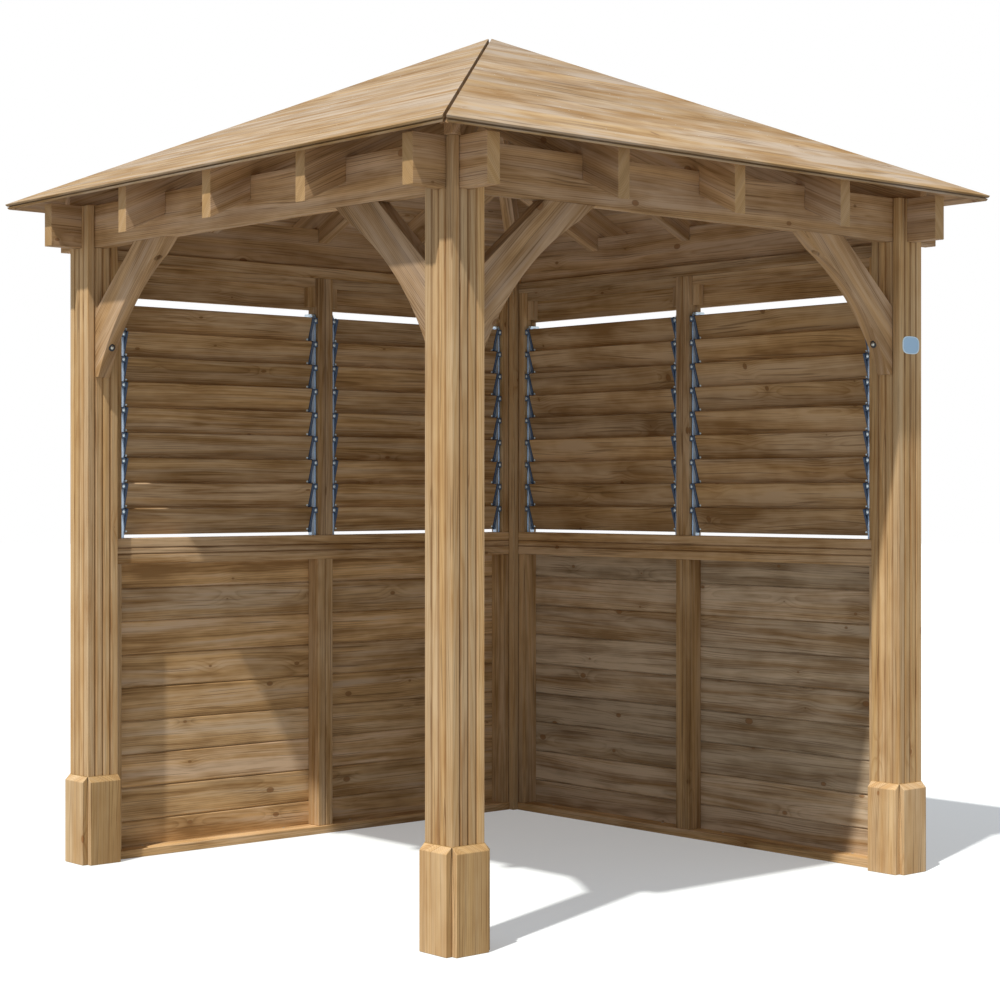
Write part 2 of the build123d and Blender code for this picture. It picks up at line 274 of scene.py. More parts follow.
def wood(name, pale, deep, spacing, streaks, knots, warmth=1.0, silvering=0.0, stretch=0.6):
    """Softwood whose rings, streaks and knots follow each piece's own grain.

    Spacing is the distance from ring to ring, and stretch how often the streaks change
    along a metre. Streaks is their strength, and knots the size of the knots. Warmth
    spreads the hues, and silvering is the most that weather greys the wood.
    """
    finish = Finish(bpy.data.materials.new(name))
    grain = finish.node("ShaderNodeSeparateXYZ", {}, {0: finish.attribute("grain", "Vector")})
    tint = finish.node("ShaderNodeSeparateXYZ", {}, {0: finish.attribute("tint", "Vector")})
    end = finish.attribute("end", "Fac")
    run = grain
    flat = grain.output("Y")
    deepness = grain.output("Z")

    # The grain wanders slowly along the piece
    girth = flat + deepness * 1.37
    wander = finish.flat_noise(run * 1.3, girth * 8.0, 1.0, 0.5) - 0.5
    side = girth + wander * 0.03

    # Knots: one at most in each cell, longer along the grain than across it
    cell = (2.9, 10.5)
    corner = finish.paired(run * cell[0], girth * cell[1])
    cells = finish.node(
        "ShaderNodeTexVoronoi",
        {"voronoi_dimensions": "2D"},
        {"Vector": corner, "Scale": 1.0, "Randomness": 0.85},
        "Color",
    )
    draw = finish.node("ShaderNodeSeparateXYZ", {}, {0: cells})
    offset = finish.vector("SUBTRACT", cells.output("Position"), corner)
    offset = finish.vector("MULTIPLY", offset, (0.62 / cell[0], 1 / cell[1], 0.0))
    distance = finish.vector("LENGTH", offset, output="Value")
    radius = (draw - 0.6) * knots
    present = (radius * 800).clamped()
    knot = ((radius - distance) * 330 + 0.4).clamped() * present
    rim = (1 - finish.maths("ABSOLUTE", radius - distance) * 520).clamped() * present
    pull = (1 - distance * 17).clamped() ** 2 * present

    # Rings round a leaning heart: arches on a flat-sawn face, arcs on an end
    across = finish.paired(flat, deepness)
    reach = finish.vector("LENGTH", across, output="Value")
    reach = reach + run * 0.011 + wander * 0.014 + pull * 0.011
    ring = (reach * (1 / spacing)).wrapped()
    late = (ring * 1.35 - 0.3).clamped() ** 2 * ((1 - ring) * 7).clamped()

    # Streaks, fibres, patches and fine checks
    streak = finish.flat_noise(run * stretch, side * 26.0, 3.0, 0.66) - 0.5
    hues = finish.flat_noise(run * 0.8 + 7.0, side * 30.0, 1.0, 0.6) - 0.5
    patch = finish.flat_noise(run * 3.4 + 3.0, girth * 11.0, 3.0, 0.6) - 0.5
    fibre = finish.flat_noise(run * 10.0, side * 560.0, 1.0, 0.7) - 0.5
    check = ((finish.flat_noise(run * 2.6, side * 240.0 + 5.0, 0.0, 0.5) - 0.72) * 16).clamped()

    body = (
        0.68
        + streak * (2.0 * streaks)
        + fibre * 0.42
        + patch * (0.6 + 0.75 * streaks)
        - late * (0.4 + end * 0.3)
        - pull * 0.28
    )
    shade = finish.mix(body.clamped(), rgba(deep), rgba(pale))

    # Dark wood is golden and pale wood greyer, and each piece has a hue of its own
    hue = (tint.output("Y") * 0.25 + hues * 1.8 + (0.58 - body) * 0.9 + 0.5).clamped()
    golden = tuple(1 + warmth * part for part in (0.06, -0.015, -0.18))
    greyed = tuple(1 + warmth * part for part in (-0.035, 0.0, 0.11))
    cast = finish.mix(hue, (*greyed, 1.0), (*golden, 1.0))
    shade = finish.mix(1.0, shade, cast, "MULTIPLY")
    if silvering:
        silver = (tint.output("Z") * 0.4 + streak * 1.8 + 0.3).clamped() * silvering
        weathered = finish.mix(body.clamped(), (0.22, 0.18, 0.125, 1.0), (0.52, 0.43, 0.31, 1.0))
        shade = finish.mix(silver, shade, weathered)

    whorl = ((distance * 620).wrapped() - 0.5) * 0.4
    knot_shade = finish.mix(
        (0.55 + whorl).clamped(),
        scaled_shade(deep, 0.62, 0.5, 0.4),
        scaled_shade(deep, 1.15, 0.88, 0.66),
    )
    shade = finish.mix(knot * 0.8, shade, knot_shade)
    shade = finish.mix(rim * 0.5, shade, scaled_shade(deep, 0.5, 0.4, 0.32))
    shade = finish.mix(check * 0.5, shade, scaled_shade(deep, 0.5, 0.45, 0.4))
    shade = finish.mix(end * 0.6, shade, scaled_shade(pale, 0.75, 0.69, 0.5))
    # Painted shade: faces that lie in a groove are darkened
    soil = finish.attribute("soil", "Fac")
    shade = finish.mix(soil * 0.4, shade, scaled_shade(deep, 0.6, 0.5, 0.42))
    light = 1 + tint * 0.12
    shade = finish.node(
        "ShaderNodeVectorMath", {"operation": "SCALE"}, {0: shade, "Scale": light}
    )

    height = 0 - fibre * 0.7 - check * 0.9
    bump = finish.node(
        "ShaderNodeBump", {}, {"Strength": 0.45, "Distance": 0.0007, "Height": height}
    )
    roughness = 0.68 - late * 0.1 + fibre * 0.15 - knot * 0.1
    shader = finish.node(
        "ShaderNodeBsdfPrincipled",
        {},
        {
            "Base Color": shade,
            "Roughness": roughness.clamped(),
            "Normal": bump,
            "Specular IOR Level": 0.12,
        },
    )
    finish.surface(shader)
    return finish.owner


def moulded(name, shade, roughness=0.45, metallic=0.0, scuffs=0.2):
    """Plastic or coated metal with a fine texture, dust and scuffs."""
    finish = Finish(bpy.data.materials.new(name))
    place = finish.node("ShaderNodeTexCoord", output="Object")
    grit = finish.noise(place, (900.0, 900.0, 900.0), 2.0, 0.6) - 0.5
    dust = finish.noise(place, (14.0, 14.0, 14.0), 4.0, 0.65)
    scuff = ((finish.noise(place, (40.0, 40.0, 220.0), 3.0, 0.7) - 0.6) * 7).clamped()
    worn = (dust - 0.45) * 1.5
    tone = finish.mix(worn.clamped() * scuffs, rgba(shade), (0.3, 0.27, 0.22, 1.0))
    tone = finish.mix(scuff * scuffs, tone, scaled_shade(shade, 1.25, 1.25, 1.25))
    bump = finish.node("ShaderNodeBump", {}, {"Strength": 0.2, "Distance": 0.0003, "Height": grit})
    shader = finish.node(
        "ShaderNodeBsdfPrincipled",
        {},
        {
            "Base Color": tone,
            "Roughness": (roughness + grit * 0.2 + scuff * 0.12).clamped(),
            "Metallic": metallic,
            "Normal": bump,
        },
    )
    finish.surface(shader)
    return finish.owner


# Of each wood: the name of its two colours, and how it is grained
WOODS = {
    "post_wood": ("post", {"spacing": 0.0062, "streaks": 0.4, "knots": 0.021, "warmth": 0.8}),
    "frame_wood": ("frame", {"spacing": 0.0055, "streaks": 0.9, "knots": 0.024}),
    "roof_wood": (
        "roof",
        {"spacing": 0.006, "streaks": 1.1, "knots": 0.018, "warmth": 1.4, "stretch": 1.4},
    ),
    "wall_wood": ("wall", {"spacing": 0.0058, "streaks": 1.1, "knots": 0.018, "stretch": 1.0}),
    "board_wood": (
        "board",
        {
            "spacing": 0.0058,
            "streaks": 1.2,
            "knots": 0.026,
            "warmth": 1.2,
            "silvering": 0.7,
            "stretch": 1.0,
        },
    ),
}
# Of each metal and plastic: the name of its colour, its roughness, metalness and scuffs
MOULDINGS = {
    "channel_metal": ("channel", 0.3, 0.65, 0.1),
    # Painted shade of the recesses, on the channels' steps and in the bolts' bores
    "channel_lip": ("lip", 0.5, 0.0, 0.1),
    "clip_plastic": ("clip", 0.42, 0.0, 0.12),
    "pivot_plastic": ("pivot", 0.4, 0.2, 0.1),
    "cap_plastic": ("cap", 0.3, 0.5, 0.05),
    "fixing_steel": ("steel", 0.36, 0.7, 0.2),
    "plate_enamel": ("plate", 0.3, 0.0, 0.03),
    "plate_rim": ("rim", 0.32, 0.0, 0.06),
}


def finish_named(kind):
    """The material of that kind, made on first use."""
    name = f"finish_{kind}"
    made = bpy.data.materials.get(name)
    if made:
        return made
    shades = bpy.context.scene.gazebo_finish
    if kind in WOODS:
        family, ways = WOODS[kind]
        pale = getattr(shades, f"{family}_pale")
        deep = getattr(shades, f"{family}_deep")
        return wood(name, pale, deep, **ways)
    shade, roughness, metallic, scuffs = MOULDINGS[kind]
    return moulded(name, getattr(shades, shade), roughness, metallic, scuffs)


# ---------------------------------------------------------------- mesh tools


def welded(node):
    """A mesh of a CAD node with its facets joined into whole faces and its solids apart."""
    bm = bmesh.new()
    bm.from_mesh(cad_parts[node].data)
    bmesh.ops.remove_doubles(bm, verts=bm.verts, dist=0.00005)
    bmesh.ops.dissolve_limit(
        bm, angle_limit=math.radians(1), verts=bm.verts, edges=bm.edges, delimit=set()
    )
    bm.normal_update()
    for group in solids_of(bm)[1:]:
        edges = {edge for face in group for edge in face.edges}
        verts = {vert for face in group for vert in face.verts}
        bmesh.ops.split(bm, geom=[*group, *edges, *verts])
    return bm


def joined(parts):
    """One mesh of several, which are used up."""
    whole = parts[0]
    for part in parts[1:]:
        carrier = bpy.data.meshes.new("carrier")
        part.to_mesh(carrier)
        part.free()
        whole.from_mesh(carrier)
        bpy.data.meshes.remove(carrier)
    whole.normal_update()
    return whole


def behind(bm, point, normal):
    """A closed copy of the part of a mesh that lies behind a plane."""
    part = bm.copy()
    whole = part.verts[:] + part.edges[:] + part.faces[:]
    cut = bmesh.ops.bisect_plane(
        part, geom=whole, dist=1e-6, plane_co=point, plane_no=normal, clear_outer=True
    )
    rim = [e for e in cut["geom_cut"] if isinstance(e, bmesh.types.BMEdge) and e.is_boundary]
    bmesh.ops.edgenet_fill(part, edges=rim)
    bmesh.ops.recalc_face_normals(part, faces=part.faces)
    return part


def soften(bm, rounding, segments=2, least=25.0):
    """Round the outer edges of a mesh."""
    sharp = [
        edge
        for edge in bm.edges
        if len(edge.link_faces) == 2 and edge.calc_face_angle_signed(0.0) > math.radians(least)
    ]
    bmesh.ops.bevel(
        bm,
        geom=sharp,
        offset=rounding,
        segments=segments,
        profile=0.5,
        affect="EDGES",
        clamp_overlap=False,
    )
    bm.normal_update()
    return bm


def solids_of(bm):
    """The faces of each separate solid, in the mesh's own order."""
    bm.faces.index_update()
    bm.verts.index_update()
    seen = set()
    found = []
    for first in bm.faces:
        if first.index in seen:
            continue
        seen.add(first.index)
        group = [first]
        for face in group:
            for edge in face.edges:
                if len(edge.link_faces) > 2:
                    continue
                for other in edge.link_faces:
                    if other.index not in seen:
                        seen.add(other.index)
                        group.append(other)
        found.append(group)
    return found


def extent(verts):
    """The low and high corners of the box round some vertices."""
    low = Vector(min(v.co[k] for v in verts) for k in range(3))
    high = Vector(max(v.co[k] for v in verts) for k in range(3))
    return low, high


def stacking(group):
    """A solid's height, told apart by its plan: it sorts solids the same way in each run."""
    low, high = extent([v for face in group for v in face.verts])
    tie_break = Vector((0.3719, 0.2137, 1.0))
    return (low + high).dot(tie_break)


def lay_grain(
    bm, seed, lay=None, heart=0.05, tone=1.0, lift=(0, 0, 0), reeds=None, grooved=False
):
    """Give every solid its own grain, tint and end-grain faces, and painted shade in its grooves.

    A tint holds lightness, goldenness and silvering, each about -1 to 1. Lift is added to
    the tint of every solid, and reeds gives what is added to a single face.
    """
    draw = random.Random(seed)
    grain = bm.verts.layers.float_vector.new("grain")
    tint = bm.faces.layers.float_vector.new("tint")
    end = bm.faces.layers.float.new("end")
    soil = bm.faces.layers.float.new("soil")
    for group in sorted(solids_of(bm), key=stacking):
        verts = list({v.index: v for face in group for v in face.verts}.values())
        low, high = extent(verts)
        centre = (low + high) / 2
        size = high - low
        if lay:
            along = lay(centre).normalized()
        else:
            along = Vector((0, 0, 0))
            along[max(range(3), key=lambda k: size[k])] = 1.0
        level = UP if abs(along.z) < 0.9 else Vector((1, 0, 0))
        first = along.cross(level).normalized()
        second = first.cross(along)
        spans = [
            max(v.co.dot(axis) for v in verts) - min(v.co.dot(axis) for v in verts)
            for axis in (first, second)
        ]
        across, depth = (first, second) if spans[0] >= spans[1] else (second, first)
        start = draw.uniform(-40, 40)
        aside = draw.uniform(-0.35, 0.35) * max(spans)
        below = draw.choice((-1, 1)) * draw.uniform(0.4, 1.0) * heart
        lean = draw.uniform(-0.012, 0.012)
        mine = Vector((draw.uniform(-1, 1), draw.uniform(-1, 1), draw.uniform(-1, 1))) * tone
        mine += Vector(lift)
        for v in verts:
            place = v.co - centre
            run = place.dot(along)
            v[grain] = (
                run + start,
                place.dot(across) + aside + lean * run,
                place.dot(depth) + below,
            )
        for face in group:
            face[end] = 1.0 if abs(face.normal.dot(along)) > 0.8 else 0.0
            face[tint] = mine + reeds(face, centre) if reeds else mine
            # Faces tilted into a groove are marked for painted shade
            if grooved and max(abs(part) for part in face.normal) < 0.82:
                face[soil] = 1.0


def add_piece(name, bm, finishes, slot, *nodes):
    """Turn a mesh into a piece of the gazebo that stands for the given nodes."""
    for face in bm.faces:
        face.smooth = True
    mesh = bpy.data.meshes.new(name)
    bm.to_mesh(mesh)
    bm.free()
    mesh.set_sharp_from_angle(angle=math.radians(38))
    for finish in finishes:
        mesh.materials.append(finish_named(finish))
    piece = bpy.data.objects.new(name, mesh)
    bpy.context.scene.collection.objects.link(piece)
    shading = piece.modifiers.new("Even shading", "WEIGHTED_NORMAL")
    shading.keep_sharp = True
    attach(piece, "root")
    if nodes:
        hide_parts(*nodes)
    return piece


def dress(node, finish, rounding, segments=2, **grain):
    """Stand a rounded, grained copy in for a CAD node of wood."""
    bm = soften(welded(node), rounding, segments)
    lay_grain(bm, node, **grain)
    return add_piece(f"{node}_dressed", bm, [finish], finish, node)


def turned(profile, place, axis, steps=16, index=0):
    """A closed turned shape: radii and heights of its rings along an axis."""
    bm = bmesh.new()
    turn = Vector(axis).to_track_quat("Z", "Y").to_matrix().to_4x4()
    turn.translation = place
    rings = []
    for radius, height in profile:
        ring = []
        for k in range(steps):
            angle = 2 * math.pi * k / steps
            spot = Vector((radius * math.cos(angle), radius * math.sin(angle), height))
            ring.append(bm.verts.new(turn @ spot))
        rings.append(ring)
    for lower, upper in zip(rings, rings[1:]):
        for k in range(steps):
            bm.faces.new((lower[k], lower[k - 1], upper[k - 1], upper[k]))
    bm.faces.new(rings[0])
    bm.faces.new(rings[-1][::-1])
    bmesh.ops.recalc_face_normals(bm, faces=bm.faces)
    for face in bm.faces:
        face.material_index = index
    return bm


def headed(diameter, *rings):
    """Profile of a head: each ring's share of its radius, and height."""
    return [(diameter / 2 * share, height) for share, height in rings]


def prism(corners, foot, top, index=0):
    """A closed prism over the plan points of corners, between two vectors."""
    bm = bmesh.new()
    lower = [bm.verts.new(foot + Vector(corner)) for corner in corners]
    upper = [bm.verts.new(top + Vector(corner)) for corner in corners]
    count = len(corners)
    for k in range(count):
        bm.faces.new((lower[k - 1], lower[k], upper[k], upper[k - 1]))
    bm.faces.new(lower[::-1])
    bm.faces.new(upper)
    bmesh.ops.recalc_face_normals(bm, faces=bm.faces)
    for face in bm.faces:
        face.material_index = index
    return bm


def wall_point(side, along, depth, height=0.0):
    """A point of a wall: along it, outward from the centre of the plan, and up."""
    ox, oy = SIDES[side]
    return Vector((ox * depth - oy * along, oy * depth + ox * along, height))


def wall_block(side, along, depth, height, rounding, index=0):
    """A rounded block in a wall's own directions, each given as its two ends."""
    plan = [
        wall_point(side, along[a], depth[d]) for a, d in ((0, 0), (1, 0), (1, 1), (0, 1))
    ]
    bm = prism(plan, Vector((0, 0, height[0])), Vector((0, 0, height[1])), index)
    return soften(bm, rounding) if rounding else bm


def wall_lines(side):
    """Ends and faces of a wall, read from its nodes: bay edge, frame face and back."""
    low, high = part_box(f"{side}_head_rail")
    k = 1 if side == "back" else 0
    return -low[1 - k], low[k], high[k]


# ---------------------------------------------------------------- pieces


def reed_tint(face, centre):
    """Tint of the reed that a face of a post belongs to."""
    place = face.calc_center_median() - centre
    side = 0 if abs(place.x) > abs(place.y) else 1
    reed = math.floor(place[1 - side] / REED)
    draw = random.Random(f"{centre.x:.2f} {centre.y:.2f} {side} {place[side] > 0} {reed}")
    return Vector((draw.uniform(-1, 1), draw.uniform(-1, 1), draw.uniform(-1, 1)))


def painted_sun_and_shade(face, centre):
    """Tint of a plinth's faces: the faces towards the sun are painted lighter and greyer as
    painted sunlight, every face of a right plinth is lighter and greyer too, and the other faces
    are darker and more golden as painted shade.
    """
    # Painted light on the faces the sun falls on, painted shade on the rest
    painted_lighter = face.normal.x < -0.6 or centre.x > 0
    return Vector((0.7, -1.2, 0)) if painted_lighter else Vector((-1.4, 1.6, 0))


class GazeboPosts(bpy.types.Operator):
    """Dress the reeded posts and the cheeks of their plinths"""

    bl_idname = "gazebo.posts"
    bl_label = "Posts"

    def execute(self, context):
        sizes = context.scene.gazebo_sizes
        for corner in CORNERS:
            dress(
                f"post_{corner}",
                "post_wood",
                sizes.arris,
                heart=0.02,
                tone=0.2,
                reeds=reed_tint,
                grooved=True,
            )
            dress(
                f"plinth_{corner}",
                "post_wood",
                sizes.arris,
                heart=0.035,
                tone=0.5,
                reeds=painted_sun_and_shade,
            )
        return {"FINISHED"}


def brace_lay(centre):
    """Direction of a brace's grain: it runs from the post up to the middle of the beam."""
    inward = Vector((-centre.x, 0, 0)) if centre.y < -0.9 else Vector((0, -centre.y, 0))
    return inward.normalized() + UP


class GazeboBeams(bpy.types.Operator):
    """Dress the ring beams, the knee braces and their bolts"""

    bl_idname = "gazebo.beams"
    bl_label = "Beams and braces"

    def execute(self, context):
        sizes = context.scene.gazebo_sizes
        for side in SIDES:
            dress(f"beam_{side}", "frame_wood", sizes.arris)
        steps = ((1, 0.0008), (1, 0.004), (0.9, 0.0058), (0.62, 0.0074), (0.25, 0.008))
        dome = headed(sizes.bolt_head, *steps)
        # A near-black disc in the bore under each bolt head: painted shade of the bore
        disc = ((0.0122, 0.0), (0.0122, 0.0012), (0.0112, 0.0016), (0.004, 0.0016))
        bolts = []
        for side in ("front", "left"):
            for end, sign in (("near", -1), ("far", 1)):
                node = f"brace_{side}_{end}"
                dress(node, "frame_wood", 0.0015, lay=brace_lay, lift=(-1.1, 0.4, 0))
                inward = wall_point(side, -sign, 0)
                seats = ((0.068, 0.336, inward), (0.354, 0.03, -UP))
                for reach, drop, axis in seats:
                    along = sign * (BAY_EDGE - reach)
                    place = wall_point(side, along, BRACE_LINE, BEAM_UNDERSIDE - drop)
                    bolts.append(turned(disc, place, axis, 24, 1))
                    bolts.append(turned(dome, place, axis, 20))
        finishes = ["fixing_steel", "channel_lip"]
        add_piece("brace_bolts", joined(bolts), finishes, "channel_metal")
        return {"FINISHED"}


class GazeboRafters(bpy.types.Operator):
    """Dress the crown block, the rafters and the hip rafters"""

    bl_idname = "gazebo.rafters"
    bl_label = "Rafters"

    def execute(self, context):
        sizes = context.scene.gazebo_sizes
        fall = math.tan(ROOF_PITCH)
        dress("crown_block", "frame_wood", sizes.arris)
        for side, out in SIDES.items():
            slope = Vector((*out, -fall))
            dress(f"rafters_{side}", "frame_wood", sizes.arris, lay=lambda centre: slope)
        dress(
            "hip_rafters",
            "frame_wood",
            sizes.arris,
            lay=lambda centre: Vector((centre.x, centre.y, -fall * abs(centre.x))),
        )
        return {"FINISHED"}


class GazeboRoof(bpy.types.Operator):
    """Board the four slopes of the roof and nail the boards"""

    bl_idname = "gazebo.roof"
    bl_label = "Roof"

    def execute(self, context):
        sizes = context.scene.gazebo_sizes
        cosine, sine = math.cos(ROOF_PITCH), math.sin(ROOF_PITCH)
        rafter_spacing = 0.475
        clear_of_hip = 0.03
        nails = []
        nail = headed(sizes.nail_head, (1, -0.001), (1, 0.0002), (0.7, 0.0005))
        for side, out in SIDES.items():
            down = Vector((out[0] * cosine, out[1] * cosine, -sine))
            normal = Vector((out[0] * sine, out[1] * sine, cosine))
            slope = welded(f"roof_{side}")
            far = max(v.co.dot(down) for v in slope.verts)
            near = min(v.co.dot(down) for v in slope.verts)
            top = max(v.co.dot(normal) for v in slope.verts)
            count = round((far - near) / sizes.roof_board)
            edges = [far - k * sizes.roof_board for k in range(1, count)]
            edges = [far + 0.01, *edges, near - 0.01]
            boards = []
            for outer, inner in zip(edges, edges[1:]):
                part = behind(slope, down * outer, down)
                board = behind(part, down * inner, -down)
                part.free()
                boards.append(soften(board, sizes.board_arris * 0.8))
                middle = (min(outer, far) + max(inner, near)) / 2
                for rafter in (-rafter_spacing, 0.0, rafter_spacing):
                    for row in (-0.3, 0.3):
                        reach = middle + row * sizes.roof_board
                        run_out = reach * cosine + top * sine
                        if run_out > abs(rafter) + clear_of_hip:
                            spot = down * reach + normal * top
                            spot += Vector((-out[1], out[0], 0)) * rafter
                            nails.append(turned(nail, spot, normal, 10))
            slope.free()
            bm = joined(boards)
            lay_grain(bm, f"roof_{side}", heart=0.07, tone=0.8)
            soil = bm.faces.layers.float["soil"]
            for face in bm.faces:
                if face.normal.z < -0.5:
                    face.material_index = 1
                place = face.calc_center_median()
                inset = far - place.dot(down)
                depth = top - place.dot(normal)
                # Faces in the eave's groove are marked for painted shade
                in_groove = 0.0015 < inset < 0.0085 and 0.002 < depth < 0.016
                if in_groove:
                    face[soil] = 1.0
                    face.material_index = 0
            finishes = ["roof_wood", "frame_wood"]
            add_piece(f"roof_{side}_boards", bm, finishes, "roof_wood", f"roof_{side}")
        add_piece("roof_nails", joined(nails), ["fixing_steel"], "channel_metal")
        self.fillets(math.tan(ROOF_PITCH))
        return {"FINISHED"}

    @staticmethod
    def fillets(fall):
        """Strips that close the gap of each hip from its rafter's tail to the eaves."""
        board_thickness = 0.018
        half = 0.014
        overlap = 0.01
        low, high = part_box("roof_front")
        eave = high.x - board_thickness * math.sin(ROOF_PITCH)
        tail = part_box("hip_rafters")[1].x
        parts = []
        for sx, sy in ((-1, -1), (1, -1), (-1, 1), (1, 1)):
            aside = Vector((-sy, sx, 0)).normalized()
            corners = []
            for across, drop in (
                (0.0, 0.0003),
                (half, 0.0003),
                (half, 0.0028),
                (0.0, 0.0036),
                (-half, 0.0028),
                (-half, 0.0003),
            ):
                fallen = abs(across) * fall / math.sqrt(2)
                corners.append(aside * across - UP * (drop + fallen))
            ends = [
                Vector((sx * reach, sy * reach, low.z + (eave - reach) * fall))
                for reach in (tail - overlap, eave - half)
            ]
            parts.append(prism(corners, *ends))
        bm = joined(parts)
        lay_grain(bm, "hip_fillets")
        add_piece("hip_fillets", bm, ["frame_wood"], "frame_wood")


class GazeboWalls(bpy.types.Operator):
    """Dress the frames of the walls, their header panels and their boards"""

    bl_idname = "gazebo.walls"
    bl_label = "Walls"
    lights = {"sole_rail": 2, "mid_rail": 1.8, "head_rail": 0, "stiles": 0}
    board_lifts = {"back": (0, 1.4, -0.7), "right": (0.6, -1.3, 1.2)}

    def execute(self, context):
        sizes = context.scene.gazebo_sizes
        for side in WALLS:
            for part, light in self.lights.items():
                node = f"{side}_{part}"
                dress(node, "wall_wood", sizes.arris, lift=(light, 0, 0), grooved=True)
            self.header_panels(side, sizes)
            self.boards(side, sizes)
        return {"FINISHED"}

    @staticmethod
    def header_panels(side, sizes):
        """Header panels in four boards each: the panel, and a border with an open foot on it."""
        bay_edge, face, back = wall_lines(side)
        node = f"{side}_header_panels"
        low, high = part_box(node)
        border = sizes.header_border
        seam = high.z - border
        planted = (face + 0.018, face + 0.042)
        leg = (low.z + 0.009, seam)
        parts = []
        bays = ((-bay_edge + STILE_HALF, -STILE_HALF), (STILE_HALF, bay_edge - STILE_HALF))
        for start, stop in bays:
            for along, depth, height in (
                ((start, stop), planted, (seam, high.z)),
                ((start, start + border), planted, leg),
                ((stop - border, stop), planted, leg),
                ((start, stop), (planted[1], back - 0.003), (low.z, high.z)),
            ):
                parts.append(wall_block(side, along, depth, height, sizes.board_arris))
        bm = joined(parts)
        lay_grain(bm, node)
        add_piece(f"{node}_dressed", bm, ["wall_wood"], "wall_wood", node)

    @staticmethod
    def boards(side, sizes):
        """Wall boards with a tongue behind each joint, and their nails."""
        bay_edge, face, back = wall_lines(side)
        node = f"{side}_wall_boards"
        bm = soften(welded(node), sizes.board_arris)
        tongues = [
            wall_block(
                side,
                (-bay_edge + 0.001, bay_edge - 0.001),
                (back + 0.0065, back + 0.0115),
                (k * BOARD_COVER - 0.006, k * BOARD_COVER + 0.005),
                0,
            )
            for k in range(1, WALL_BOARDS)
        ]
        bm = joined([bm, *tongues])
        lay_grain(bm, node, heart=0.06, lift=GazeboWalls.board_lifts[side])
        add_piece(f"{node}_dressed", bm, ["board_wood"], "wall_wood", node)

        nail = headed(sizes.nail_head, (1, -0.001), (1, 0.0003), (0.7, 0.0007))
        outward = wall_point(side, 0, 1)
        surface = back + 0.018
        stile_lines = (-bay_edge + 0.016, -0.018, 0.018, bay_edge - 0.016)
        nails = [
            turned(nail, wall_point(side, along, surface, (k + row) * BOARD_COVER), outward, 10)
            for k in range(WALL_BOARDS)
            for row in (0.24, 0.76)
            for along in stile_lines
        ]
        add_piece(f"{side}_board_nails", joined(nails), ["fixing_steel"], "channel_metal")

        steps = ((1, -0.0005), (1, 0.0004), (0.8, 0.0011), (0.42, 0.0013), (0.3, 0.0002))
        screw = headed(sizes.screw_head, *steps)
        screws = [
            turned(screw, wall_point(side, along, face + 0.052, 0.028), UP, 16)
            for along in (-0.74, -0.15, 0.15, 0.74)
        ]
        add_piece(f"{side}_sole_screws", joined(screws), ["fixing_steel"], "channel_metal")


